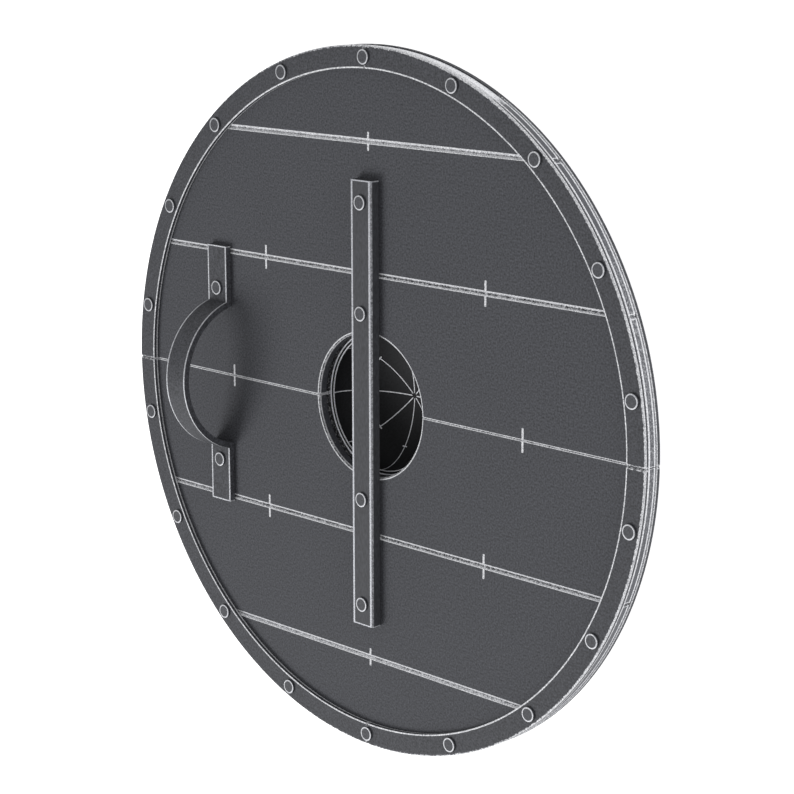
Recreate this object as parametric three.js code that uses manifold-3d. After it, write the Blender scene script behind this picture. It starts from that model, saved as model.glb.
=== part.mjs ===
// A round plank shield that lies face down on its boss, with its back and its grips up.
// The shield has a frame of its own, in millimetres: X runs along the planks, Y along the grip bar,
// Z points out of the back, and the board's back is at Z = 0. At the end of the file the whole shield
// is tipped until its boss and its front rim rivets touch one floor, and the origin is the spot
// where the boss rests on that floor.

import * as THREE from 'three';
import { mergeVertices } from 'three/addons/utils/BufferGeometryUtils.js';
import Module from 'manifold-3d';

// Fits between the pieces
const seatGap = 0.3; // between two pieces that lie on each other or meet end to end
const shankClearance = 0.3; // between a rivet's shank and its hole, on the radius

// Plank board
const rimDiameter = 600; // the whole shield
const boardInset = 1; // the planks' edge, behind the rim's outer edge
const boardThickness = 8.3;
const centrePlankWidth = 112;
const sidePlankWidth = 109.8;
const seamGroove = 1.7; // depth of the V along a seam, and its width on each plank
const centreSeamGroove = 0.6; // the same for the seam between the two centre planks
const handHoleDiameter = 123;
const handHoleChamfer = 1.2;

// Rim plates, one ring of quarters on each face
const rimWidth = 18.9;
const rimPlate = 4.2;
const rimChamfer = 0.4;
const rimJointGroove = 1.2; // depth of the V where two quarters meet
const rimQuarterCount = 4;
const rimRivetCount = 18;

// Boss
const bossPlate = 3.8; // thickness of the flange and of the dome's wall
const bossFlangeWidth = 36.4;
const bossLedge = 3.5; // step from the hand hole in to the dome
const bossNeck = 4.6; // straight wall between the flange and the dome
const domeHeight = 37; // inside, from the neck to the crown
const restSpotDepth = 0.4; // how much the flat resting spot takes off the dome

// Grip bar
const barWidth = 25;
const barLength = 381.6;
const barThickness = 8.9;
const barChamfer = 1.4; // along the two long edges of its face
const barRivetInset = 18.5; // outer rivets, from the bar's ends

// Arm loop
const loopOffset = 187.6; // from the shield's centre to the middle of the strap
const strapWidth = 25;
const strapThickness = 5.3;
const loopSpan = 133; // between the inner ends of the two feet
const loopHeight = 56.1; // from the board's back to the top of the arch
const loopFootLength = 49.8;
const loopRivetInset = 12; // from a foot's inner end

// Rivets
const shankRadius = 3;
const headRadius = 6.25;
const headHeight = 1.5;
const backFaceRadius = 5.9; // flat of the heads on the back, which are low discs
const frontFaceRadius = 5.1; // flat of the heads on the front, which are cones

// Fineness of the round forms
const rimSides = 72;
const bossSides = 36;
const rivetSides = 9;
const domeSteps = 8;
const coveSteps = 3;
const archSteps = 20;

// Finishes
const woodFinish = { color: 0x4c4d50, roughness: 0.72, metalness: 0 };
const rimFinish = { color: 0x525356, roughness: 0.55, metalness: 0.6 };
const bossFinish = { color: 0x47484b, roughness: 0.5, metalness: 0.6 };
const gripFinish = { color: 0x535457, roughness: 0.5, metalness: 0.6 };
const rivetFinish = { color: 0x56575a, roughness: 0.45, metalness: 0.7 };

// Places that follow from the sizes
const rimRadius = rimDiameter / 2;
const rimInnerRadius = rimRadius - rimWidth;
const rimRivetRadius = rimRadius - rimWidth / 2;
const boardRadius = rimRadius - boardInset;
const handHoleRadius = handHoleDiameter / 2;
const bossFlangeRadius = handHoleRadius + bossFlangeWidth;
const bossRivetRadius = handHoleRadius + bossFlangeWidth / 2;
const boardFront = -boardThickness;
const rimBackFace = seatGap + rimPlate;
const rimFrontFace = boardFront - seatGap - rimPlate;
const flangeFront = boardFront - seatGap - bossPlate;
const barFace = seatGap + barThickness;
const loopFootFace = seatGap + strapThickness;
const domeInnerRadius = handHoleRadius - bossLedge;
const domeOuterRadius = domeInnerRadius + bossPlate;
const domeOuterHeight = domeHeight + bossPlate;
const domeCentre = flangeFront - bossNeck;
const barRivetOffset = barLength / 2 - barRivetInset;
const loopRivetOffset = loopSpan / 2 + loopRivetInset;
const cutMargin = 5; // how far a cutting shape runs past what it cuts

const wasm = await Module();
wasm.setup();

// A closed mesh as a solid. Triangles that shrink to a line at a pole are left out.
function toSolid(geometry) {
  const plain = geometry.clone();
  plain.deleteAttribute('normal');
  plain.deleteAttribute('uv');
  const merged = mergeVertices(plain, 1e-4);
  const corners = merged.index.array;
  const kept = [];
  for (let i = 0; i < corners.length; i += 3) {
    const [a, b, c] = [corners[i], corners[i + 1], corners[i + 2]];
    if (a !== b && b !== c && c !== a) {
      kept.push(a, b, c);
    }
  }
  const mesh = new wasm.Mesh({
    numProp: 3,
    vertProperties: new Float32Array(merged.attributes.position.array),
    triVerts: new Uint32Array(kept),
  });
  return new wasm.Manifold(mesh);
}

function toGeometry(solid) {
  const mesh = solid.getMesh();
  const geometry = new THREE.BufferGeometry();
  geometry.setAttribute('position', new THREE.BufferAttribute(mesh.vertProperties, 3));
  geometry.setIndex(new THREE.BufferAttribute(mesh.triVerts, 1));
  geometry.computeVertexNormals();
  return geometry;
}

function joined(solids) {
  return solids.reduce((whole, solid) => whole.add(solid));
}

// A solid turned about Z from a profile of [radius, height] points.
function turned(profile, sides) {
  const points = profile.map(([radius, height]) => new THREE.Vector2(radius, height));
  if (THREE.ShapeUtils.isClockWise(points)) {
    points.reverse();
  }
  const closesOnAxis = points[0].x === 0 && points[points.length - 1].x === 0;
  if (!closesOnAxis) {
    points.push(points[0].clone());
  }
  return toSolid(new THREE.LatheGeometry(points, sides).rotateX(Math.PI / 2));
}

function outlineShape(outline) {
  return new THREE.Shape(outline.map(([across, up]) => new THREE.Vector2(across, up)));
}

// A prism along X, centred on X = 0, from an outline of [y, z] points.
function prismAlongX(outline, length) {
  const geometry = new THREE.ExtrudeGeometry(outlineShape(outline), { depth: length, bevelEnabled: false });
  const turn = new THREE.Matrix4().makeBasis(
    new THREE.Vector3(0, 1, 0),
    new THREE.Vector3(0, 0, 1),
    new THREE.Vector3(1, 0, 0),
  );
  return toSolid(geometry.translate(0, 0, -length / 2).applyMatrix4(turn));
}

// A prism along Y, centred on Y = 0, from an outline of [z, x] points.
function prismAlongY(outline, length) {
  const geometry = new THREE.ExtrudeGeometry(outlineShape(outline), { depth: length, bevelEnabled: false });
  const turn = new THREE.Matrix4().makeBasis(
    new THREE.Vector3(0, 0, 1),
    new THREE.Vector3(1, 0, 0),
    new THREE.Vector3(0, 1, 0),
  );
  return toSolid(geometry.translate(0, 0, -length / 2).applyMatrix4(turn));
}

// Every rivet: where it stands, and the two faces that its heads sit on.
const rimRivets = Array.from({ length: rimRivetCount }, (_, k) => {
  const angle = Math.PI / 2 - (k * 2 * Math.PI) / rimRivetCount;
  return {
    name: `rim_rivet_${k + 1}`,
    x: rimRivetRadius * Math.cos(angle),
    y: rimRivetRadius * Math.sin(angle),
    back: rimBackFace,
    front: rimFrontFace,
  };
});
const barRivets = [
  { name: 'bar_rivet_1', x: 0, y: barRivetOffset, back: barFace, front: boardFront },
  { name: 'bar_rivet_2', x: 0, y: bossRivetRadius, back: barFace, front: flangeFront },
  { name: 'bar_rivet_3', x: 0, y: -bossRivetRadius, back: barFace, front: flangeFront },
  { name: 'bar_rivet_4', x: 0, y: -barRivetOffset, back: barFace, front: boardFront },
];
const loopRivets = [
  { name: 'loop_rivet_1', x: -loopOffset, y: loopRivetOffset, back: loopFootFace, front: boardFront },
  { name: 'loop_rivet_2', x: -loopOffset, y: -loopRivetOffset, back: loopFootFace, front: boardFront },
];
const rivets = [...rimRivets, ...barRivets, ...loopRivets];

function rivetSolid({ back, front }) {
  const top = back + seatGap + headHeight;
  const bottom = front - seatGap - headHeight;
  return turned(
    [
      [0, bottom],
      [frontFaceRadius, bottom],
      [headRadius, bottom + headHeight],
      [shankRadius, bottom + headHeight],
      [shankRadius, top - headHeight],
      [headRadius, top - headHeight],
      [backFaceRadius, top],
      [0, top],
    ],
    rivetSides,
  );
}

function shankHole({ x, y, back, front }) {
  const radius = shankRadius + shankClearance;
  const low = front - cutMargin;
  const high = back + cutMargin;
  return turned([[0, low], [radius, low], [radius, high], [0, high]], rivetSides).translate([x, y, 0]);
}

// The resting tilt: the lowest point of the dome and of the rim rivets' front heads, measured along
// the floor's downward direction, which is (-sin tilt, 0, -cos tilt) in the shield's frame.
function domeReach(tilt) {
  const curve = Math.hypot(domeOuterRadius * Math.sin(tilt), domeOuterHeight * Math.cos(tilt));
  return curve - domeCentre * Math.cos(tilt) - restSpotDepth;
}

function rimReach(tilt) {
  const headDrop = seatGap + headHeight - rimFrontFace;
  const reaches = rimRivets.map(({ x }) => (
    (frontFaceRadius - x) * Math.sin(tilt) + headDrop * Math.cos(tilt)
  ));
  return Math.max(...reaches);
}

function restingTilt() {
  let low = 0;
  let high = Math.PI / 3;
  for (let step = 0; step < 60; step += 1) {
    const middle = (low + high) / 2;
    if (domeReach(middle) > rimReach(middle)) {
      low = middle;
    } else {
      high = middle;
    }
  }
  return low;
}

// The turn and shift that lay the shield down, with the middle of the dome's flat spot at the origin.
function restingPlacement() {
  const tilt = restingTilt();
  const across = domeOuterRadius * Math.sin(tilt);
  const along = domeOuterHeight * Math.cos(tilt);
  const curve = Math.hypot(across, along);
  const spot = new THREE.Vector3(
    (-domeOuterRadius * across) / curve + restSpotDepth * Math.sin(tilt),
    0,
    domeCentre - (domeOuterHeight * along) / curve + restSpotDepth * Math.cos(tilt),
  );
  const turn = new THREE.Matrix4().makeRotationY(-tilt);
  const shift = spot.applyMatrix4(turn).negate();
  return turn.setPosition(shift);
}

// Planks, from the top of the shield to its bottom
function plankSection(low, high, lowGroove, highGroove) {
  const first = low + seatGap / 2;
  const last = high - seatGap / 2;
  return [
    [first, boardFront + lowGroove],
    [first + lowGroove, boardFront],
    [last - highGroove, boardFront],
    [last, boardFront + highGroove],
    [last, -highGroove],
    [last - highGroove, 0],
    [first + lowGroove, 0],
    [first, -lowGroove],
  ];
}

function handHoleCutter() {
  return turned(
    [
      [0, boardFront - cutMargin],
      [handHoleRadius, boardFront - cutMargin],
      [handHoleRadius, -handHoleChamfer],
      [handHoleRadius + handHoleChamfer, 0],
      [handHoleRadius + handHoleChamfer, cutMargin],
      [0, cutMargin],
    ],
    bossSides,
  );
}

function planks(holes) {
  const past = boardRadius + cutMargin;
  const sideSeam = centrePlankWidth + sidePlankWidth;
  const seams = [past, sideSeam, centrePlankWidth, 0, -centrePlankWidth, -sideSeam, -past];
  const grooves = seams.map((seam) => (seam === 0 ? centreSeamGroove : seamGroove));
  const below = boardFront - cutMargin;
  const disc = turned([[0, below], [boardRadius, below], [boardRadius, cutMargin], [0, cutMargin]], rimSides);
  const handHole = handHoleCutter();
  return seams.slice(1).map((seam, k) => {
    const section = plankSection(seam, seams[k], grooves[k + 1], grooves[k]);
    const plank = prismAlongX(section, 2 * past).intersect(disc).subtract(handHole).subtract(holes);
    return { name: `plank_${k + 1}`, solid: plank };
  });
}

// One rim ring, cut into quarters that meet at the shield's axes
function rimQuarters(side, seat, face, holes) {
  const lip = face + Math.sign(seat - face) * rimChamfer;
  const ring = turned(
    [
      [rimInnerRadius, seat],
      [rimRadius, seat],
      [rimRadius, lip],
      [rimRadius - rimChamfer, face],
      [rimInnerRadius + rimChamfer, face],
      [rimInnerRadius, lip],
    ],
    rimSides,
  );
  const jointLength = rimWidth + 2 * cutMargin;
  const grooveSide = rimJointGroove * Math.SQRT2;
  const quarterTurn = (2 * Math.PI) / rimQuarterCount;
  const joints = Array.from({ length: rimQuarterCount }, (_, k) => {
    const slot = new THREE.BoxGeometry(jointLength, seatGap, 2 * rimPlate + 2 * cutMargin);
    const groove = new THREE.BoxGeometry(jointLength, grooveSide, grooveSide).rotateX(Math.PI / 4);
    return [slot, groove].map((cutter) => (
      toSolid(cutter.translate(rimRivetRadius, 0, face).rotateZ(k * quarterTurn))
    ));
  });
  const cutRing = ring.subtract(joined(joints.flat())).subtract(holes);
  const reach = rimRadius + cutMargin;
  return joints.map((_, k) => {
    const corner = new THREE.BoxGeometry(reach, reach, 2 * reach).translate(reach / 2, reach / 2, 0);
    const quarter = cutRing.intersect(toSolid(corner.rotateZ(k * quarterTurn)));
    return { name: `${side}_rim_quarter_${k + 1}`, solid: quarter };
  });
}

// Boss: a flanged dome, open towards the hand, with a small ledge below the flange's bore
function bossSolid(holes, placement) {
  const inner = [];
  const outer = [];
  for (let step = 0; step <= domeSteps; step += 1) {
    const angle = (step / domeSteps) * (Math.PI / 2);
    inner.push([domeInnerRadius * Math.sin(angle), domeCentre - domeHeight * Math.cos(angle)]);
    outer.unshift([domeOuterRadius * Math.sin(angle), domeCentre - domeOuterHeight * Math.cos(angle)]);
  }
  const cove = [];
  for (let step = 0; step < coveSteps; step += 1) {
    const angle = (step / coveSteps) * (Math.PI / 2);
    cove.push([
      domeOuterRadius + bossNeck - bossNeck * Math.sin(angle),
      domeCentre + bossNeck * Math.cos(angle),
    ]);
  }
  const profile = [
    ...inner,
    [domeInnerRadius, flangeFront],
    [handHoleRadius, flangeFront],
    [handHoleRadius, boardFront - seatGap],
    [bossFlangeRadius, boardFront - seatGap],
    [bossFlangeRadius, flangeFront],
    ...cove,
    ...outer,
  ];
  const floorSize = 2 * domeOuterRadius;
  const floor = new THREE.BoxGeometry(floorSize, floorSize, floorSize).translate(0, 0, -floorSize / 2);
  const floorBlock = toSolid(floor.applyMatrix4(placement.clone().invert()));
  return turned(profile, bossSides).subtract(holes).subtract(floorBlock);
}

// Grip bar: a flat bar across the hand hole, with square ends
function barSolid(holes) {
  const halfWidth = barWidth / 2;
  const outline = [
    [seatGap, -halfWidth],
    [seatGap, halfWidth],
    [barFace - barChamfer, halfWidth],
    [barFace, halfWidth - barChamfer],
    [barFace, -halfWidth + barChamfer],
    [barFace - barChamfer, -halfWidth],
  ];
  return prismAlongY(outline, barLength).subtract(holes);
}

// Arm loop: one flat strap, bent into a round arch between two feet
function loopSolid(holes) {
  const halfSpan = loopSpan / 2;
  const rise = loopHeight - loopFootFace;
  const outerRadius = (rise * rise + halfSpan * halfSpan) / (2 * rise);
  const innerRadius = outerRadius - strapThickness;
  const centre = loopHeight - outerRadius;
  const outerSweep = Math.asin(halfSpan / outerRadius);
  const innerSweep = Math.acos((seatGap - centre) / innerRadius);
  const outerArch = [];
  const innerArch = [];
  for (let step = 0; step <= archSteps; step += 1) {
    const share = 1 - (2 * step) / archSteps;
    const outerAngle = share * outerSweep;
    const innerAngle = -share * innerSweep;
    outerArch.push([outerRadius * Math.sin(outerAngle), centre + outerRadius * Math.cos(outerAngle)]);
    innerArch.push([innerRadius * Math.sin(innerAngle), centre + innerRadius * Math.cos(innerAngle)]);
  }
  const footEnd = halfSpan + loopFootLength;
  const outline = [
    [footEnd, seatGap],
    [footEnd, loopFootFace],
    ...outerArch,
    [-footEnd, loopFootFace],
    [-footEnd, seatGap],
    ...innerArch,
  ];
  return prismAlongX(outline, strapWidth).translate([-loopOffset, 0, 0]).subtract(holes);
}

function buildShield() {
  const placement = restingPlacement();
  const shield = new THREE.Group();
  shield.applyMatrix4(placement);

  function place(name, solid, finish, x = 0, y = 0) {
    const mesh = new THREE.Mesh(toGeometry(solid), new THREE.MeshStandardMaterial(finish));
    mesh.name = name;
    mesh.position.set(x, y, 0);
    shield.add(mesh);
  }

  const holes = joined(rivets.map(shankHole));
  planks(holes).forEach(({ name, solid }) => place(name, solid, woodFinish));
  [
    ...rimQuarters('back', seatGap, rimBackFace, holes),
    ...rimQuarters('front', boardFront - seatGap, rimFrontFace, holes),
  ].forEach(({ name, solid }) => place(name, solid, rimFinish));
  place('boss', bossSolid(holes, placement), bossFinish);
  place('grip_bar', barSolid(holes), gripFinish);
  place('arm_loop', loopSolid(holes), gripFinish);
  rivets.forEach((rivet) => place(rivet.name, rivetSolid(rivet), rivetFinish, rivet.x, rivet.y));
  return shield;
}

const object = new THREE.Group();
object.add(buildShield());

export default object;
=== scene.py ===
import math

import bmesh
import bpy
import numpy as np
from mathutils import Matrix, Vector


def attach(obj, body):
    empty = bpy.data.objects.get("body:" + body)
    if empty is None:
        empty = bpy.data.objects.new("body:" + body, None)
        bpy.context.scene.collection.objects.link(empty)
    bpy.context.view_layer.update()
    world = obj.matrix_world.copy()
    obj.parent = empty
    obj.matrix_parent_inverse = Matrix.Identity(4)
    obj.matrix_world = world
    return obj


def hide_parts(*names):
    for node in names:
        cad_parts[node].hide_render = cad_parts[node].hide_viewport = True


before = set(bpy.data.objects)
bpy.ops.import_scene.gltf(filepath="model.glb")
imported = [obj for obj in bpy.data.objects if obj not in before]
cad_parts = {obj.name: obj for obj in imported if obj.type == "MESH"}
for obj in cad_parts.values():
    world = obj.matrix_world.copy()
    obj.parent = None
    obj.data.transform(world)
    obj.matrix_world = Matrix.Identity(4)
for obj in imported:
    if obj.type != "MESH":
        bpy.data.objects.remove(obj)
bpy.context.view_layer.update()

# Sizes in millimetres, in the shield's own frame, as in the part's source: X runs along the planks,
# Y along the grip bar, Z points out of the back, and the board's back is at Z = 0.
SEAT_GAP = 0.3
BOARD_RADIUS = 299.0
BOARD_FRONT = -8.3
SEAMS = (0.0, 112.0, 221.8, 299.0)
SEAM_GROOVES = (0.6, 1.7, 1.7, 0.0)
HOLE_RADIUS = 61.5
HOLE_CHAMFER = 1.2
RIM_RADIUS = 300.0
RIM_INNER_RADIUS = 281.1
RIM_CHAMFER = 0.4
RIM_JOINT_GROOVE = 1.2
RIM_RIVET_RADIUS = 290.55
RIM_RIVET_COUNT = 18
RIM_BACK_FACE = 4.5
RIM_FRONT_FACE = -12.8
FLANGE_RADIUS = 97.9
FLANGE_FRONT = -12.4
RECESS_FLOOR = -13.9
FLANGE_RIVET_RADIUS = 79.7
DOME_CENTRE = -17.0
DOME_INNER = (58.0, 37.0)
DOME_OUTER = (61.8, 40.8)
DOME_NECK = 4.6
GRIP_WIDTH = 25.0
BAR_LENGTH = 381.6
BAR_FACE = 9.2
BAR_RIVET_OFFSET = 172.3
LOOP_OFFSET = 187.6
LOOP_FOOT_FACE = 5.6
LOOP_HALF_SPAN = 66.5
LOOP_FOOT_END = 116.3
LOOP_HEIGHT = 56.1
STRAP_THICKNESS = 5.3
LOOP_RIVET_OFFSET = 78.5
BAR_EDGE = (1.4, 1.7)
LOOP_EDGE = (0.2, 1.2)
END_LINE = 0.9
CAP_INSET = 0.8
SHANK_RADIUS = 3.0
HEAD_RADIUS = 6.25
HEAD_HEIGHT = 1.5
FRONT_FACE_RADIUS = 5.1

# How the shield lies: tipped about Y until boss and rim rivets share the floor
RESTING_TILT = math.radians(8.561041567218236)
BOARD_ORIGIN = (5.13387442, 0.0, 57.79157333)
MM = 0.001
SHARP_ANGLE = math.radians(32)

# Wear runs from 0, where the dark coat is whole, to 1, where it is gone. A pair of lists holds
# places and the wear at each.
# By a seam's height: the wear on the bottom of its groove and on the shoulder beside it
SEAM_WEAR = {0.0: (0.5, 0.35), 112.0: (0.48, 0.6), 221.8: (0.56, 0.6)}
# Where the shoulder's wear starts to fade and where it ends, past the groove's edge
SHOULDER_STEPS = (0.4, 0.9)
# By the distance out from the hand hole's wall
HOLE_STEPS = (0.0, 0.25, 0.95, 1.2, 1.8, 2.2)
HOLE_WEAR = (1.0, 0.45, 0.45, 1.0, 1.0, 0.0)
HOLE_WALL_WEAR = 0.37
# By the depth under the board's back, on the board's side
BOARD_SIDE_STEPS = (0.0, 1.5, 1.9, 4.2, 6.6, 7.0, 8.3)
BOARD_SIDE_WEAR = (1.0, 1.0, 0.0, 0.0, 0.0, 1.0, 1.0)
# By the angle in degrees, anticlockwise in the photo from the planks' right end
# At the top the side is worn bare; from -10 to 34 degrees it is only lightened a little, as painted
# light where light from the right falls on it.
BOARD_SIDE_WORN_AND_LIT = (
    [-45, -10, 18, 34, 44, 56, 68, 95, 108],
    [0.0, 0.4, 0.44, 0.41, 0.1, 0.1, 0.95, 1.0, 0.0],
)
RIM_SIDE_RUBBED = ([56, 68, 92, 105], [0.0, 0.95, 1.0, 0.0])
RIM_EDGE_WEAR = ([0, 80, 100, 130, 240, 280, 330, 360], [1.0, 1.0, 0.8, 0.45, 0.4, 0.7, 0.9, 1.0])

# The marks across the seams: the middle that each pair lies round, how far to either side of it,
# how high over the centre seam, and half the mark's length
SEAM_CROSSES = ((0.0, 0.0, 221.8, 7.8), (2.0, 130.0, 112.0, 10.5), (0.0, 172.8, 0.0, 10.0))
SEAM_CROSS_HALF_WIDTH = 1.1
# The lines in the bowl. An edge is where the mark ends and where it is full, from its middle.
MERIDIAN_EDGE = (0.8 * MM, 0.3 * MM)
MERIDIAN_CROSS_RADIUS = 42.5 * MM
MERIDIAN_CROSS_EDGE = (2.8 * MM, 2.3 * MM)
MERIDIAN_WEAR = 0.66
WALL_BAND_EDGE = (2.0 * MM, 1.4 * MM)
WALL_BAND_WEAR = 0.52

# The photo's camera in the shield's frame: its place, the ways ahead and up, and its lens
CAMERA_PLACE = (1303.8, 417.3, 1261.6)
CAMERA_AHEAD = (-692.2, -220.3, -687.2)
CAMERA_UP = (-154.9, 975.4, -156.6)
CAMERA_LENS = 100.57
LIGHT_AIM = (0.0, 0.0, 0.05)


# Places

def laid_down(points):
    """Shield millimetres to metres in the row frame: turned about Y by the resting tilt, then moved to
    where the middle of the board's back lies."""
    across, up, out = points[:, 0], points[:, 1], points[:, 2]
    cosine, sine = math.cos(RESTING_TILT), math.sin(RESTING_TILT)
    turned = np.column_stack([across * cosine - out * sine, up, across * sine + out * cosine])
    return (turned + BOARD_ORIGIN) * MM


def laid_down_point(point):
    """One point in shield millimetres, laid down."""
    return Vector(laid_down(np.array([point]))[0])


# Surfaces

def grid_faces(rows, columns, closed=False, start=0):
    """Quads of a grid stored row by row; closed joins the last column to the first."""
    row = start + np.arange(rows - 1)[:, None] * columns
    here = np.arange(columns if closed else columns - 1)[None, :]
    after = (here + 1) % columns
    quads = [row + here, row + after, row + columns + after, row + columns + here]
    return np.stack(quads, axis=-1).reshape(-1, 4)


def make_piece(name, points, faces, worn, finishes, nodes, kinds=None, marks=None):
    """One closed piece from points in shield millimetres. worn says how worn each point is, marks
    where a point may carry drawn marks, and kinds which of the finishes a face has."""
    mesh = bpy.data.meshes.new(name)
    mesh.from_pydata(laid_down(points), [], faces)
    layers = {"worn": worn}
    if marks is not None:
        layers["marked"] = marks
    for layer, values in layers.items():
        attribute = mesh.attributes.new(layer, "FLOAT", "POINT")
        attribute.data.foreach_set("value", np.asarray(values, dtype=np.float32))
    for finish in finishes:
        mesh.materials.append(finish)
    if kinds is not None:
        mesh.polygons.foreach_set("material_index", np.asarray(kinds, dtype=np.int32))
    shell = bmesh.new()
    shell.from_mesh(mesh)
    bmesh.ops.remove_doubles(shell, verts=shell.verts, dist=2e-6)
    bmesh.ops.dissolve_degenerate(shell, edges=shell.edges, dist=1e-7)
    bmesh.ops.recalc_face_normals(shell, faces=shell.faces)
    shell.to_mesh(mesh)
    shell.free()
    mesh.shade_smooth()
    mesh.set_sharp_from_angle(angle=SHARP_ANGLE)
    piece = bpy.data.objects.new(name, mesh)
    bpy.context.scene.collection.objects.link(piece)
    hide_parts(*nodes)
    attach(piece, "root")
    return piece


# Node building

def add(tree, kind, **settings):
    node = tree.nodes.new(kind)
    for setting, value in settings.items():
        setattr(node, setting, value)
    return node


def feed(tree, socket, value):
    if isinstance(value, bpy.types.NodeSocket):
        tree.links.new(value, socket)
    else:
        socket.default_value = value


def calc(tree, operation, *values):
    node = add(tree, "ShaderNodeMath", operation=operation)
    for socket, value in zip(node.inputs, values):
        feed(tree, socket, value)
    return node.outputs[0]


def noise(tree, place, scale, detail=2.0, roughness=0.5):
    node = add(tree, "ShaderNodeTexNoise")
    feed(tree, node.inputs["Vector"], place)
    feed(tree, node.inputs["Scale"], scale)
    feed(tree, node.inputs["Detail"], detail)
    feed(tree, node.inputs["Roughness"], roughness)
    return node.outputs["Fac"]


def spread(tree, value, low, high, to_low=0.0, to_high=1.0, soft=False):
    node = add(tree, "ShaderNodeMapRange", interpolation_type="SMOOTHSTEP" if soft else "LINEAR")
    for socket, number in zip(node.inputs, (value, low, high, to_low, to_high)):
        feed(tree, socket, number)
    return node.outputs["Result"]


def blend(tree, share, first, second):
    node = add(tree, "ShaderNodeMix", data_type="RGBA")
    feed(tree, node.inputs["Factor"], share)
    feed(tree, node.inputs["A"], first)
    feed(tree, node.inputs["B"], second)
    return node.outputs["Result"]


def new_group(name, inputs, outputs):
    """An empty shader group with float inputs, apart from one called Place, and float outputs."""
    tree = bpy.data.node_groups.new(name, "ShaderNodeTree")
    for label in inputs:
        kind = "NodeSocketVector" if label == "Place" else "NodeSocketFloat"
        tree.interface.new_socket(name=label, in_out="INPUT", socket_type=kind)
    for label in outputs:
        tree.interface.new_socket(name=label, in_out="OUTPUT", socket_type="NodeSocketFloat")
    return tree, add(tree, "NodeGroupInput").outputs, add(tree, "NodeGroupOutput").inputs


def fine_grain_group():
    """Grain of about a millimetre over slow patches a hand wide; both swing round a half."""
    tree, given, result = new_group("Fine grain", ["Place", "Fineness", "Patchiness"], ["Tone"])
    grain = noise(tree, given["Place"], 620.0, detail=1.0)
    patches = noise(tree, given["Place"], 14.0, detail=3.0)
    grain_swing = calc(tree, "MULTIPLY", calc(tree, "SUBTRACT", grain, 0.5), given["Fineness"])
    patch_swing = calc(tree, "MULTIPLY", calc(tree, "SUBTRACT", patches, 0.5), given["Patchiness"])
    swing = calc(tree, "ADD", grain_swing, patch_swing)
    tree.links.new(calc(tree, "ADD", swing, 0.5), result["Tone"])
    return tree


def worn_away_group():
    """Where the dark finish is gone: the worn value with noise on it, cut off at a half. Shine says
    how bright the bare spot is, from streak to streak."""
    tree, given, result = new_group("Worn away", ["Place", "Worn", "Breakup"], ["Bare", "Shine"])
    coarse = noise(tree, given["Place"], 560.0, detail=3.0, roughness=0.6)
    swing = calc(tree, "MULTIPLY", calc(tree, "SUBTRACT", coarse, 0.5), given["Breakup"])
    edge = calc(tree, "ADD", given["Worn"], swing)
    tree.links.new(spread(tree, edge, 0.38, 0.62, soft=True), result["Bare"])
    fine = noise(tree, given["Place"], 1000.0, detail=2.0)
    tree.links.new(spread(tree, fine, 0.3, 0.7), result["Shine"])
    return tree


def scribed_cross_group():
    """A short mark across a seam: one inside the half width and half length round a place that
    repeats to the left and the right of Middle, and above and below the shield's centre."""
    labels = ["Place", "Middle", "Along", "Up", "Half Width", "Half Length"]
    tree, given, result = new_group("Scribed cross mark", labels, ["Mark"])
    parts = add(tree, "ShaderNodeSeparateXYZ")
    tree.links.new(given["Place"], parts.inputs[0])
    sides = []
    across = calc(tree, "SUBTRACT", parts.outputs["X"], given["Middle"])
    for axis, centre, half in (
        (across, "Along", "Half Width"),
        (parts.outputs["Y"], "Up", "Half Length"),
    ):
        distance = calc(tree, "ABSOLUTE", axis)
        distance = calc(tree, "ABSOLUTE", calc(tree, "SUBTRACT", distance, given[centre]))
        past = calc(tree, "SUBTRACT", distance, given[half])
        sides.append(spread(tree, past, 0.0004, -0.0004))
    tree.links.new(calc(tree, "MULTIPLY", *sides), result["Mark"])
    return tree


FINE_GRAIN = fine_grain_group()
WORN_AWAY = worn_away_group()
SCRIBED_CROSS = scribed_cross_group()


def place_group(tree, group, place, **values):
    node = add(tree, "ShaderNodeGroup", node_tree=group)
    feed(tree, node.inputs["Place"], place)
    for label, value in values.items():
        feed(tree, node.inputs[label.replace("_", " ")], value)
    return node.outputs


def shield_place(tree):
    """Object coordinates turned back into the shield's own frame."""
    turned = add(tree, "ShaderNodeMapping", vector_type="TEXTURE")
    turned.inputs["Location"].default_value = [value * MM for value in BOARD_ORIGIN]
    turned.inputs["Rotation"].default_value = (0.0, -RESTING_TILT, 0.0)
    tree.links.new(add(tree, "ShaderNodeTexCoord").outputs["Object"], turned.inputs["Vector"])
    return turned.outputs["Vector"]


def attribute_value(tree, name):
    return add(tree, "ShaderNodeAttribute", attribute_name=name).outputs["Fac"]


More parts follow.
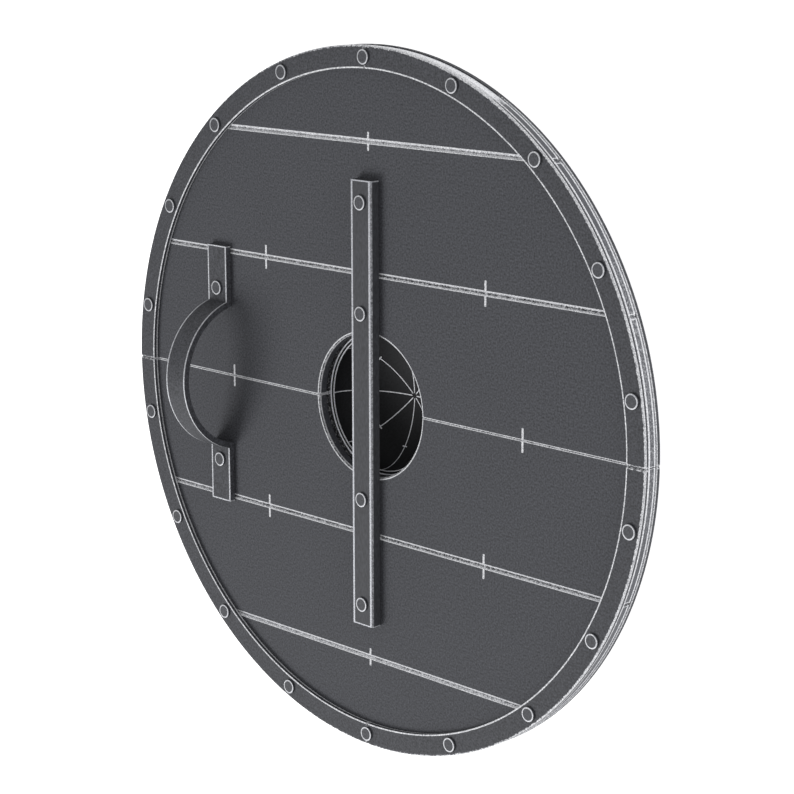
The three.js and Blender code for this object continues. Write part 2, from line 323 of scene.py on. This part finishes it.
def dark_finish(
    name, dark, light, fineness, patchiness, roughness, breakup,
    metal=0.0, drawn=(1.0, 1.0, 1.0), extra_wear=None,
):
    """A dark coat with fine grain, gone along the edges, where a lighter, smoother ground shows.
    dark and light are each a pair of linear colours, the lower and the upper end of the swing. A
    small number in drawn stretches the grain along that axis."""
    material = bpy.data.materials.new(name)
    material.use_nodes = True
    tree = material.node_tree
    shader = tree.nodes["Principled BSDF"]
    place = shield_place(tree)
    stretched = add(tree, "ShaderNodeVectorMath", operation="MULTIPLY")
    feed(tree, stretched.inputs[0], place)
    feed(tree, stretched.inputs[1], drawn)
    grain_place = stretched.outputs[0]
    tone = place_group(tree, FINE_GRAIN, grain_place, Fineness=fineness, Patchiness=patchiness)["Tone"]
    wear = attribute_value(tree, "worn")
    if extra_wear is not None:
        wear = calc(tree, "MAXIMUM", wear, extra_wear(tree, place))
    worn = place_group(tree, WORN_AWAY, place, Worn=wear, Breakup=breakup)
    coat = blend(tree, tone, dark[0], dark[1])
    ground = blend(tree, worn["Shine"], light[0], light[1])
    feed(tree, shader.inputs["Base Color"], blend(tree, worn["Bare"], coat, ground))
    feed(tree, shader.inputs["Roughness"], spread(tree, worn["Bare"], 0.0, 1.0, *roughness))
    if metal > 0.0:
        feed(tree, shader.inputs["Metallic"], calc(tree, "MULTIPLY", worn["Bare"], metal))
    shader.inputs["Specular IOR Level"].default_value = 0.3
    bump = add(tree, "ShaderNodeBump")
    bump.inputs["Strength"].default_value = 0.25
    bump.inputs["Distance"].default_value = 0.0002
    feed(tree, bump.inputs["Height"], tone)
    feed(tree, shader.inputs["Normal"], bump.outputs["Normal"])
    return material


def seam_cross_marks(tree, place):
    """The marks across the seams: at the middle of the outer seams, a forearm apart on the next ones
    and wider on the centre seam."""
    wear = 0.0
    for middle, along, up, half_length in SEAM_CROSSES:
        mark = place_group(
            tree, SCRIBED_CROSS, place, Middle=middle * MM, Along=along * MM, Up=up * MM,
            Half_Width=SEAM_CROSS_HALF_WIDTH * MM, Half_Length=half_length * MM,
        )["Mark"]
        wear = calc(tree, "MAXIMUM", wear, calc(tree, "MULTIPLY", mark, 0.9))
    return wear


def dome_meridians(tree, place):
    """Eight scribed lines from the crown of the bowl, an eighth of a turn apart, each with a short
    cross mark. The distance to the nearest line is close to a quarter of the radius times the sine
    of four times the angle. On the wall above the bowl only the board's centre seam goes on, as one
    rubbed band."""
    parts = add(tree, "ShaderNodeSeparateXYZ")
    tree.links.new(place, parts.inputs[0])
    across, up = parts.outputs["X"], parts.outputs["Y"]
    squares = calc(tree, "ADD", calc(tree, "MULTIPLY", across, across), calc(tree, "MULTIPLY", up, up))
    radius = calc(tree, "SQRT", squares)
    turn = calc(tree, "SINE", calc(tree, "MULTIPLY", calc(tree, "ARCTAN2", up, across), 4.0))
    beside = calc(tree, "MULTIPLY", calc(tree, "ABSOLUTE", turn), calc(tree, "MULTIPLY", radius, 0.25))
    line = spread(tree, beside, *MERIDIAN_EDGE)
    from_ring = calc(tree, "ABSOLUTE", calc(tree, "SUBTRACT", radius, MERIDIAN_CROSS_RADIUS))
    ring = spread(tree, from_ring, *MERIDIAN_EDGE)
    cross = calc(tree, "MULTIPLY", ring, spread(tree, beside, *MERIDIAN_CROSS_EDGE))
    marks = calc(tree, "MAXIMUM", line, cross)
    off_the_crown = spread(tree, radius, 1.0 * MM, 3.0 * MM)
    marks = calc(tree, "MULTIPLY", marks, off_the_crown)
    off_the_wall = spread(tree, radius, 60.5 * MM, 60.0 * MM, 0.0, MERIDIAN_WEAR)
    marks = calc(tree, "MULTIPLY", marks, off_the_wall)
    band = spread(tree, calc(tree, "ABSOLUTE", up), *WALL_BAND_EDGE, 0.0, WALL_BAND_WEAR)
    on_the_wall = spread(tree, radius, 60.5 * MM, 61.0 * MM)
    band = calc(tree, "MULTIPLY", band, on_the_wall)
    return calc(tree, "MULTIPLY", calc(tree, "MAXIMUM", marks, band), attribute_value(tree, "marked"))


def grey(value, blue=1.12):
    """A linear grey that leans to blue; blue is its blue channel over its red one."""
    return (value, value * (1.0 + (blue - 1.0) * 0.2), value * blue, 1.0)


PLANK_FINISH = dark_finish(
    "charcoal stained planks", (grey(0.0), grey(0.09, 1.2)), (grey(0.22), grey(0.85, 1.03)),
    fineness=1.05, patchiness=0.06, roughness=(0.75, 0.6), breakup=0.8, extra_wear=seam_cross_marks,
)
PLANK_END_FINISH = dark_finish(
    "planed plank ends", (grey(0.03, 1.2), grey(0.1, 1.2)), (grey(0.4), grey(0.86, 1.02)),
    fineness=0.5, patchiness=0.4, roughness=(0.5, 0.45), breakup=0.35,
)
RIM_FINISH = dark_finish(
    "blackened rim iron", (grey(0.0), grey(0.08, 1.2)), (grey(0.2), grey(0.72, 1.03)),
    fineness=1.1, patchiness=0.06, roughness=(0.7, 0.5), breakup=1.0, metal=0.15,
)
# The boss's coat is nearly black, darker than the other irons', as painted shade for the hollow of the
# bowl; its bare ground runs up to white as painted light on the lines inside the bowl, where little
# light reaches.
BOSS_FINISH_PAINTED_SHADE_AND_LIGHT = dark_finish(
    "blackened boss iron with painted shade and light", (grey(0.0), grey(0.02, 1.2)), (grey(0.55), grey(1.0, 1.03)),
    fineness=0.7, patchiness=0.3, roughness=(0.75, 0.5), breakup=0.4, extra_wear=dome_meridians,
)
BAR_FINISH = dark_finish(
    "drawn bar iron", (grey(0.01), grey(0.065, 1.2)), (grey(0.22, 1.12), grey(0.46, 1.08)),
    fineness=0.75, patchiness=0.06, roughness=(0.65, 0.5), breakup=0.35, metal=0.3,
    drawn=(1.0, 0.4, 1.0),
)
LOOP_FINISH = dark_finish(
    "forged strap iron", (grey(0.0), grey(0.084, 1.2)), (grey(0.22), grey(0.55, 1.06)),
    fineness=1.1, patchiness=0.06, roughness=(0.7, 0.5), breakup=0.3, metal=0.3,
)
RIVET_FINISH = dark_finish(
    "rivet iron", (grey(0.01), grey(0.085, 1.2)), (grey(0.28), grey(0.5, 1.03)),
    fineness=1.1, patchiness=0.1, roughness=(0.65, 0.5), breakup=0.2, metal=0.3,
)


# Planks

# Which of a plank's two finishes a face has
FACE, END = 0, 1


def groove_steps(edge):
    """Distances from a seam, over its groove to the edge and over the shoulder beside it."""
    return np.array([0.0, 0.5 * edge, edge, edge + SHOULDER_STEPS[0], edge + SHOULDER_STEPS[1]])


def plank_rows(index):
    """The heights of a plank's grid rows: close together at the grooves, the arc and the hand hole."""
    low, high = SEAMS[index], SEAMS[index + 1]
    low_groove, high_groove = SEAM_GROOVES[index], SEAM_GROOVES[index + 1]
    rows = [BOARD_RADIUS * np.sin(np.radians(np.arange(0.5, 90.0, 1.25)))]
    rows.append(low + SEAT_GAP / 2 + groove_steps(low_groove))
    if high_groove > 0.0:
        rows.append(high - SEAT_GAP / 2 - groove_steps(high_groove))
    else:
        rows.append([BOARD_RADIUS])
    if index == 0:
        rows.append(HOLE_RADIUS * np.sin(np.radians(np.arange(2.0, 90.0, 2.0))))
        rows.append(HOLE_RADIUS + np.array(HOLE_STEPS))
    rows = np.unique(np.round(np.concatenate(rows), 4))
    first = low + SEAT_GAP / 2
    last = high - SEAT_GAP / 2 if high_groove > 0.0 else BOARD_RADIUS
    return rows[(rows >= first - 1e-6) & (rows <= last + 1e-6)]


def groove_depth(up, index):
    """How far the face is cut down beside a plank's two seams, on a slope of one to one."""
    depth = np.zeros_like(up)
    for seam, groove, side in (
        (SEAMS[index], SEAM_GROOVES[index], 1.0),
        (SEAMS[index + 1], SEAM_GROOVES[index + 1], -1.0),
    ):
        beside = (up - seam) * side - SEAT_GAP / 2
        depth = np.maximum(depth, np.clip(groove - beside, 0.0, groove))
    return depth


def plank_wear(points, index):
    """How worn a point of the board is, from its place: beside the seams, round the hand hole and
    along both edges of the rim side, which is rubbed bare at the top and lightened a little at the
    right as painted light."""
    radius = np.hypot(points[:, 0], points[:, 1])
    out = points[:, 2]
    wear = np.zeros(len(points))
    for seam, groove in zip(SEAMS[index:index + 2], SEAM_GROOVES[index:index + 2]):
        if groove > 0.0:
            beside = np.abs(np.abs(points[:, 1]) - seam)
            edge = groove + SEAT_GAP / 2
            bottom, shoulder = SEAM_WEAR[seam]
            across_it = np.interp(beside, groove_steps(edge), [bottom, bottom, 1.0, shoulder, 0.0])
            wear = np.maximum(wear, across_it)
    ring = np.interp(radius - HOLE_RADIUS, HOLE_STEPS, HOLE_WEAR)
    near_hole = (out > -HOLE_CHAMFER - 0.2) & (index == 0)
    wear = np.where(near_hole, np.maximum(wear, ring), wear)
    hole_wall = (radius < HOLE_RADIUS + 0.01) & (out < -HOLE_CHAMFER - 0.2)
    wear = np.where(hole_wall, np.maximum(wear, HOLE_WALL_WEAR), wear)
    rim_side = radius > BOARD_RADIUS - 0.01
    lines = np.interp(-out, BOARD_SIDE_STEPS, BOARD_SIDE_WEAR)
    turn = np.degrees(np.arctan2(points[:, 1], points[:, 0]))
    # Bare wear at the top of the rim side, and a painted highlight a little at the right.
    side_wear_and_light = np.interp(turn, *BOARD_SIDE_WORN_AND_LIT)
    return np.where(rim_side, np.maximum(np.maximum(0.6 * wear, lines), side_wear_and_light), wear)


def plank_half(index, side):
    """Half of a plank, right of the grip bar for side 1 and left for side -1. A grid with one row per
    height and columns from the hand hole, or the middle, out to the rim; once for the back face, once
    for the front face, and strips of the same rows for the walls."""
    up = plank_rows(index)
    reach = np.sqrt(np.maximum(BOARD_RADIUS ** 2 - up ** 2, 0.0))
    hole_steps = np.array(HOLE_STEPS) + HOLE_RADIUS
    if index == 0:
        starts = np.sqrt(np.maximum(hole_steps[None, :] ** 2 - up[:, None] ** 2, 0.0))
    else:
        starts = np.zeros((len(up), 1))
    shares = np.linspace(0.0, 1.0, 13)[1:]
    outward = starts[:, -1:] + (reach[:, None] - starts[:, -1:]) * shares
    across = np.concatenate([starts, outward], axis=1) * side
    height = np.repeat(up[:, None], across.shape[1], axis=1)
    radius = np.hypot(across, height)
    chamfer = np.zeros_like(radius)
    if index == 0:
        chamfer = np.clip(HOLE_RADIUS + HOLE_CHAMFER - radius, 0.0, HOLE_CHAMFER)
    groove = groove_depth(height, index)
    back = np.stack([across, height, -np.maximum(groove, chamfer)], axis=-1)
    front = np.stack([across, height, BOARD_FRONT + groove], axis=-1)
    grids = [(back, FACE), (front, FACE)]
    levels = (np.array(BOARD_SIDE_STEPS) / -BOARD_FRONT)[:, None, None]

    def wall(first, second, kind):
        grids.append((first[None] * (1.0 - levels) + second[None] * levels, kind))

    wall(back[:, -1], front[:, -1], END)
    wall(back[0], front[0], FACE)
    wall(back[-1], front[-1], FACE)
    if index == 0:
        bored = up <= HOLE_RADIUS + 1e-6
        wall(back[bored, 0], front[bored, 0], END)
    return grids


def make_plank(number):
    """A plank from its halves; the lower three mirror the upper three."""
    index = 3 - number if number <= 3 else number - 4
    flip = 1.0 if number <= 3 else -1.0
    points, faces, kinds = [], [], []
    start = 0
    for side in (1.0, -1.0):
        for grid, kind in plank_half(index, side):
            rows, columns = grid.shape[:2]
            quads = grid_faces(rows, columns, start=start)
            points.append(grid.reshape(-1, 3) * (1.0, flip, 1.0))
            faces.append(quads)
            kinds.append(np.full(len(quads), kind))
            start += rows * columns
    points = np.concatenate(points)
    name = f"plank_{number}"
    return make_piece(
        f"board_{name}", points, np.concatenate(faces).tolist(), plank_wear(points, index),
        [PLANK_FINISH, PLANK_END_FINISH], [name], kinds=np.concatenate(kinds),
    )


# Rim quarters

def rim_profile():
    """The section of a rim plate, as radius, height over the board's back, and how worn it is."""
    outer, inner, face = RIM_RADIUS, RIM_INNER_RADIUS, RIM_BACK_FACE
    lip = face - RIM_CHAMFER
    round_in = RIM_CHAMFER * (1.0 - math.sqrt(0.5))
    return np.array([
        (inner, SEAT_GAP, 0.3), (outer, SEAT_GAP, 1.0), (outer, SEAT_GAP + 0.8, 1.0),
        (outer, SEAT_GAP + 1.2, 0.0), (outer, face - 1.5, 0.0), (outer, face - 1.1, 0.9),
        (outer, lip, 1.0), (outer - round_in, face - round_in, 1.0),
        (outer - RIM_CHAMFER, face, 0.85), (outer - 3.0, face, 0.0),
        (inner + 1.6, face, 0.0), (inner + 1.1, face, 0.78), (inner + 0.4, face, 0.78),
        (inner + 0.1, face - 0.1, 0.9), (inner, face - 0.4, 0.3), (inner, face - 0.6, 0.0),
        (inner, 2.0, 0.0), (inner, 1.6, 1.0), (inner, 0.9, 1.0),
    ])


def make_rim_quarter(side, number):
    """The rim's section carried through a quarter turn. Beside each joint the columns stand a fixed
    distance from the joint's plane, and the face is cut down there to one side of a V. The outer edge
    is worn least on the arm loop's side, and the back ring's side is rubbed bare at the top."""
    profile = rim_profile()
    radius, out, worn = profile.T
    beside = np.array([SEAT_GAP / 2, 0.75, RIM_JOINT_GROOVE + SEAT_GAP / 2, 1.9, 2.5])
    crisp = np.array([0.45, 0.5, 0.58, 0.45, 0.0])
    faint = np.array([0.5, 0.5, 0.52, 0.3, 0.0])
    start_worn = crisp if number == 1 else faint
    end_worn = crisp if number == 4 else faint
    first = np.arcsin(beside[:, None] / radius[None, :])
    middle = np.radians(np.arange(1.5, 89.0, 1.5))[:, None] + np.zeros((1, len(radius)))
    turn = np.concatenate([first, middle, np.pi / 2 - first[::-1]])
    cut = np.clip(RIM_JOINT_GROOVE + SEAT_GAP / 2 - beside, 0.0, None)
    plain = np.zeros(len(middle))
    cut = np.concatenate([cut, plain, cut[::-1]])[:, None]
    joint_worn = np.concatenate([start_worn, plain, end_worn[::-1]])[:, None]
    angle = turn + math.radians(90.0) * (number - 1)
    height = np.minimum(out[None, :], RIM_BACK_FACE - cut)
    points = np.stack([radius * np.cos(angle), radius * np.sin(angle), height], axis=-1)
    rows, columns = angle.shape
    points = points.reshape(-1, 3)
    if side == "front":
        points[:, 2] = BOARD_FRONT - points[:, 2]
    faces = grid_faces(rows, columns, closed=True).tolist()
    faces.append(list(range(columns)))
    faces.append(list(range((rows - 1) * columns, rows * columns)))
    turned = np.degrees(angle) % 360.0
    outer_part = radius > RIM_RADIUS - 4.0
    wear = worn[None, :] * np.where(outer_part, np.interp(turned, *RIM_EDGE_WEAR), 1.0)
    on_the_side = radius > RIM_RADIUS - 0.01
    bare = np.interp(turned, *RIM_SIDE_RUBBED) * on_the_side
    if side == "back":
        wear = np.maximum(wear, bare)
    else:
        wear = np.where(on_the_side & (out > 2.0), 0.0, wear * (1.0 - bare))
    wear = np.maximum(wear, joint_worn).reshape(-1)
    name = f"{side}_rim_quarter_{number}"
    return make_piece(f"plate_{name}", points, faces, wear, [RIM_FINISH], [name])


# Boss

def rubbed_crown(turn):
    """How worn the outside of the dome is, at an angle from its crown."""
    return 0.4 * math.exp(-6.0 * turn * turn)


def make_boss():
    """A profile turned about the shield's middle, whose crown is flattened where it meets the floor.
    Outside, the crown is rubbed, most at its middle. Each point of the profile is a radius, a height,
    how worn it is and whether it may carry marks."""
    dome = np.radians(np.linspace(0.0, 90.0, 31))
    inner = [
        (DOME_INNER[0] * math.sin(a), DOME_CENTRE - DOME_INNER[1] * math.cos(a), 0.0, 1.0)
        for a in dome
    ]
    outer = [
        (DOME_OUTER[0] * math.sin(a), DOME_CENTRE - DOME_OUTER[1] * math.cos(a), rubbed_crown(a), 0.0)
        for a in dome[::-1]
    ]
    cove = [
        (
            DOME_OUTER[0] + DOME_NECK * (1.0 - math.sin(a)), DOME_CENTRE + DOME_NECK * math.cos(a),
            0.0, 0.0,
        )
        for a in np.radians(np.linspace(0.0, 75.0, 6))
    ]
    ledge, bore, back = DOME_INNER[0], HOLE_RADIUS, BOARD_FRONT - SEAT_GAP
    step, edge, front = RECESS_FLOOR, FLANGE_RADIUS, FLANGE_FRONT
    rim = [
        (ledge, step - 0.9, 0.0, 1.0), (ledge, step - 0.6, 1.0, 0.0),
        (ledge, step, 1.0, 0.0), (ledge + 0.6, step, 1.0, 0.0),
        (ledge + 0.9, step, 0.0, 0.0), (bore - 0.9, step, 0.0, 0.0),
        (bore - 0.6, step, 1.0, 0.0), (bore, step, 1.0, 0.0),
        (bore, step + 0.6, 1.0, 0.0), (bore, step + 0.9, 0.4, 1.0),
        (bore, back, 0.4, 1.0), (edge, back, 0.5, 0.0),
        (edge, front + 1.2, 0.0, 0.0), (edge, front + 0.8, 1.0, 0.0),
        (edge - 0.25, front + 0.25, 1.0, 0.0), (edge - 0.8, front, 1.0, 0.0),
        (edge - 1.3, front, 0.7, 0.0), (edge - 2.4, front, 0.0, 0.0),
    ]
    profile = np.array(inner + rim + cove + outer)
    turn = np.radians(np.arange(0.0, 360.0, 2.5))
    radius, out, worn, marked = (column[:, None] for column in profile.T)
    grid = np.stack([radius * np.cos(turn), radius * np.sin(turn), out + 0.0 * turn], axis=-1)
    rows, columns = grid.shape[:2]
    points = grid.reshape(-1, 3)
    floor = (-BOARD_ORIGIN[2] - points[:, 0] * math.sin(RESTING_TILT)) / math.cos(RESTING_TILT)
    points[:, 2] = np.maximum(points[:, 2], floor)
    wear = np.repeat(worn[:, 0], columns)
    marks = np.repeat(marked[:, 0], columns)
    faces = grid_faces(rows, columns, closed=True).tolist()
    return make_piece(
        "boss_bowl", points, faces, wear, [BOSS_FINISH_PAINTED_SHADE_AND_LIGHT], ["boss"], marks=marks
    )


# Grips

def strap_section(thickness, chamfer, line):
    """The outline of a strap's section: across, height over its seat, and how worn it is. A bright
    line of the given width runs along the face, beside each chamfer."""
    half = GRIP_WIDTH / 2
    right = [
        (half - 0.6, 0.0, 0.0), (half, 0.0, 0.2), (half, 0.6, 0.0),
        (half, thickness - chamfer - 0.2, 0.0), (half, thickness - chamfer, 0.5),
        (half - 0.5 * chamfer, thickness - 0.5 * chamfer, 0.5),
        (half - 0.9 * chamfer, thickness - 0.1 * chamfer, 0.6), (half - chamfer, thickness, 1.0),
        (half - chamfer - line, thickness, 1.0), (half - chamfer - line - 0.3, thickness, 0.0),
    ]
    left = [(-across, rise, worn) for across, rise, worn in reversed(right)]
    return np.array(right + left)


def make_strap(name, node, finish, middle, thickness, edge, lower, upper, end_wear):
    """A flat section carried from station to station. Each station has a lower and an upper point in
    the plane of the strap's length and height, and a section point lies between them by its rise.
    edge is the chamfer and the width of the bright line beside it. Each end is cut off square, and
    its wear fades over a ring inside its edges."""
    section = strap_section(thickness, *edge)
    across, rise, worn = section.T
    stations = len(lower)
    height = rise / thickness
    line = lower[:, None, :] * (1.0 - height)[None, :, None] + upper[:, None, :] * height[None, :, None]
    side = np.repeat((middle + across)[None, :], stations, axis=0)
    points = np.stack([side, line[..., 0], line[..., 1]], axis=-1)
    wear = np.maximum(worn[None, :], end_wear[:, None])
    columns = len(section)
    caps = []
    for row in (0, stations - 1):
        inset = points[row].copy()
        centre = inset.mean(axis=0)
        inset[:, 0] = centre[0] + (inset[:, 0] - centre[0]) * (1.0 - CAP_INSET / (GRIP_WIDTH / 2))
        inset[:, 2] = centre[2] + (inset[:, 2] - centre[2]) * (1.0 - CAP_INSET / thickness)
        caps.append(inset)
    points = np.concatenate([caps[0], points.reshape(-1, 3), caps[1]])
    still = np.zeros(columns)
    wear = np.concatenate([still, wear.reshape(-1), still])
    rows = stations + 2
    faces = grid_faces(rows, columns, closed=True).tolist()
    faces.append(list(range(columns)))
    faces.append(list(range((rows - 1) * columns, rows * columns)))
    return make_piece(name, points, faces, wear, [finish], [node])


def end_steps():
    """Distances from a strap's end for its first stations, and how worn each is."""
    return np.array([0.0, END_LINE, END_LINE + 0.3]), np.array([1.0, 1.0, 0.0])


def make_grip_bar():
    """A straight strap across the hand hole."""
    half = BAR_LENGTH / 2
    inward, worn = end_steps()
    between = np.linspace(half - 20.0, 20.0 - half, 9)
    along = np.concatenate([half - inward, between, inward[::-1] - half])
    end_wear = np.concatenate([worn, np.zeros(len(between)), worn[::-1]])
    lower = np.stack([along, np.full(len(along), SEAT_GAP)], axis=-1)
    upper = np.stack([along, np.full(len(along), BAR_FACE)], axis=-1)
    return make_strap(
        "bar_across_the_hole", "grip_bar", BAR_FINISH, 0.0, BAR_FACE - SEAT_GAP, BAR_EDGE,
        lower, upper, end_wear,
    )


def make_arm_loop():
    """A strap with two straight feet and a round arch: the arch's two faces are arcs round one
    centre, and the sections lean from one face to the other."""
    rise = LOOP_HEIGHT - LOOP_FOOT_FACE
    outer_radius = (rise * rise + LOOP_HALF_SPAN ** 2) / (2.0 * rise)
    inner_radius = outer_radius - STRAP_THICKNESS
    centre = LOOP_HEIGHT - outer_radius
    outer_sweep = math.asin(LOOP_HALF_SPAN / outer_radius)
    inner_sweep = math.acos((SEAT_GAP - centre) / inner_radius)
    share = np.linspace(1.0, -1.0, 65)

    def arc(radius, sweep):
        turn = share * sweep
        return np.stack([radius * np.sin(turn), centre + radius * np.cos(turn)], axis=-1)

    outer_arc = arc(outer_radius, outer_sweep)
    inner_arc = arc(inner_radius, inner_sweep)
    inward, worn = end_steps()
    foot = LOOP_FOOT_END - inward
    foot_low = np.stack([foot, np.full(len(foot), SEAT_GAP)], axis=-1)
    foot_high = np.stack([foot, np.full(len(foot), LOOP_FOOT_FACE)], axis=-1)
    mirror = (-1.0, 1.0)
    lower = np.concatenate([foot_low, inner_arc, foot_low[::-1] * mirror])
    upper = np.concatenate([foot_high, outer_arc, foot_high[::-1] * mirror])
    end_wear = np.concatenate([worn, np.zeros(len(share)), worn[::-1]])
    return make_strap(
        "strap_for_the_arm", "arm_loop", LOOP_FINISH, -LOOP_OFFSET, STRAP_THICKNESS, LOOP_EDGE,
        lower, upper, end_wear,
    )


# Rivets

def make_rivet(name, across, up, back, front):
    """A turned rivet: a shank between a low disc, whose edge is worn to a bright ring, and a coned
    head on the front."""
    top = back + SEAT_GAP + HEAD_HEIGHT
    bottom = front - SEAT_GAP - HEAD_HEIGHT
    disc = [
        (0.0, 0.0, 0.0), (HEAD_RADIUS - 1.35, 0.0, 0.0), (HEAD_RADIUS - 1.0, 0.0, 1.0),
        (HEAD_RADIUS - 0.4, 0.0, 1.0), (HEAD_RADIUS - 0.1, 0.1, 0.8), (HEAD_RADIUS, 0.3, 0.4),
        (HEAD_RADIUS, 0.6, 0.0), (HEAD_RADIUS, HEAD_HEIGHT, 0.0), (SHANK_RADIUS, HEAD_HEIGHT, 0.0),
    ]
    cone = [
        (SHANK_RADIUS, HEAD_HEIGHT, 0.0), (HEAD_RADIUS, HEAD_HEIGHT, 0.2),
        (HEAD_RADIUS, HEAD_HEIGHT - 0.3, 1.0), (FRONT_FACE_RADIUS + 0.2, 0.25, 1.0),
        (FRONT_FACE_RADIUS, 0.1, 0.9), (FRONT_FACE_RADIUS - 0.2, 0.0, 0.8),
        (FRONT_FACE_RADIUS - 0.6, 0.0, 0.0), (0.0, 0.0, 0.0),
    ]
    upper = [(radius, top - drop, worn) for radius, drop, worn in disc]
    lower = [(radius, bottom + drop, worn) for radius, drop, worn in cone]
    radius, out, worn = (column[:, None] for column in np.array(upper + lower).T)
    turn = np.radians(np.arange(0.0, 360.0, 7.5))
    level = out + 0.0 * turn
    grid = np.stack([across + radius * np.cos(turn), up + radius * np.sin(turn), level], axis=-1)
    rows, columns = grid.shape[:2]
    faces = grid_faces(rows, columns, closed=True).tolist()
    wear = np.repeat(worn[:, 0], columns)
    return make_piece(
        f"{name}_peened", grid.reshape(-1, 3), faces, wear, [RIVET_FINISH], [name]
    )


def make_rivets():
    """Rim rivets clockwise from the top, then the bar's from top to bottom, then the loop's."""
    for k in range(RIM_RIVET_COUNT):
        angle = math.pi / 2 - 2 * math.pi * k / RIM_RIVET_COUNT
        across, up = RIM_RIVET_RADIUS * math.cos(angle), RIM_RIVET_RADIUS * math.sin(angle)
        make_rivet(f"rim_rivet_{k + 1}", across, up, RIM_BACK_FACE, RIM_FRONT_FACE)
    fronts = (BOARD_FRONT, FLANGE_FRONT, FLANGE_FRONT, BOARD_FRONT)
    heights = (BAR_RIVET_OFFSET, FLANGE_RIVET_RADIUS, -FLANGE_RIVET_RADIUS, -BAR_RIVET_OFFSET)
    for k, (up, front) in enumerate(zip(heights, fronts)):
        make_rivet(f"bar_rivet_{k + 1}", 0.0, up, BAR_FACE, front)
    for k, up in enumerate((LOOP_RIVET_OFFSET, -LOOP_RIVET_OFFSET)):
        make_rivet(f"loop_rivet_{k + 1}", -LOOP_OFFSET, up, LOOP_FOOT_FACE, BOARD_FRONT)


for number in range(1, 7):
    make_plank(number)
for side in ("back", "front"):
    for number in range(1, 5):
        make_rim_quarter(side, number)
make_boss()
make_grip_bar()
make_arm_loop()
make_rivets()


# Floor, light and camera

def make_floor():
    """A pale floor that glows a little, so that shadows on it stay light."""
    bpy.ops.mesh.primitive_plane_add(size=30.0)
    floor = bpy.context.object
    floor.name = "pale_floor"
    material = bpy.data.materials.new("pale floor")
    material.use_nodes = True
    shader = material.node_tree.nodes["Principled BSDF"]
    shader.inputs["Base Color"].default_value = (0.86, 0.86, 0.86, 1.0)
    shader.inputs["Roughness"].default_value = 0.9
    shader.inputs["Specular IOR Level"].default_value = 0.1
    shader.inputs["Emission Color"].default_value = (1.0, 1.0, 1.0, 1.0)
    shader.inputs["Emission Strength"].default_value = 0.75
    floor.data.materials.append(material)


def make_soft_light(name, place, size, power):
    """A round lamp, metres wide, that points at the shield."""
    light = bpy.data.lights.new(name, "AREA")
    light.shape = "DISK"
    light.size = size
    light.energy = power
    lamp = bpy.data.objects.new(name, light)
    bpy.context.scene.collection.objects.link(lamp)
    lamp.location = place
    lamp.rotation_euler = (Vector(LIGHT_AIM) - Vector(place)).to_track_quat("-Z", "Y").to_euler()


def make_camera():
    """The photograph's view, laid down with the shield, through a long lens."""
    eye = laid_down_point(CAMERA_PLACE)
    ahead = laid_down_point(np.add(CAMERA_PLACE, CAMERA_AHEAD)) - eye
    above = laid_down_point(np.add(CAMERA_PLACE, CAMERA_UP)) - eye
    ahead.normalize()
    right = ahead.cross(above).normalized()
    above = right.cross(ahead)
    data = bpy.data.cameras.new("photo_camera")
    data.sensor_width = 36.0
    data.lens = CAMERA_LENS
    data.clip_start = 0.05
    data.clip_end = 60.0
    camera = bpy.data.objects.new("photo_camera", data)
    bpy.context.scene.collection.objects.link(camera)
    turn = Matrix((right, above, -ahead)).transposed()
    camera.matrix_world = Matrix.Translation(eye) @ turn.to_4x4()
    bpy.context.scene.camera = camera


def make_white_room():
    """White light from all sides, and colours that aren't toned down."""
    world = bpy.data.worlds.new("white room")
    world.use_nodes = True
    background = world.node_tree.nodes["Background"]
    background.inputs["Color"].default_value = (1.0, 1.0, 1.0, 1.0)
    background.inputs["Strength"].default_value = 0.54
    bpy.context.scene.world = world
    bpy.context.scene.view_settings.view_transform = "Standard"


make_floor()
make_soft_light("key_from_the_lower_left", (-4.9, -3.8, 5.0), size=4.8, power=535.0)
make_soft_light("fill_from_the_right", (2.6, 0.4, 0.9), size=1.4, power=24.0)
make_white_room()
make_camera()
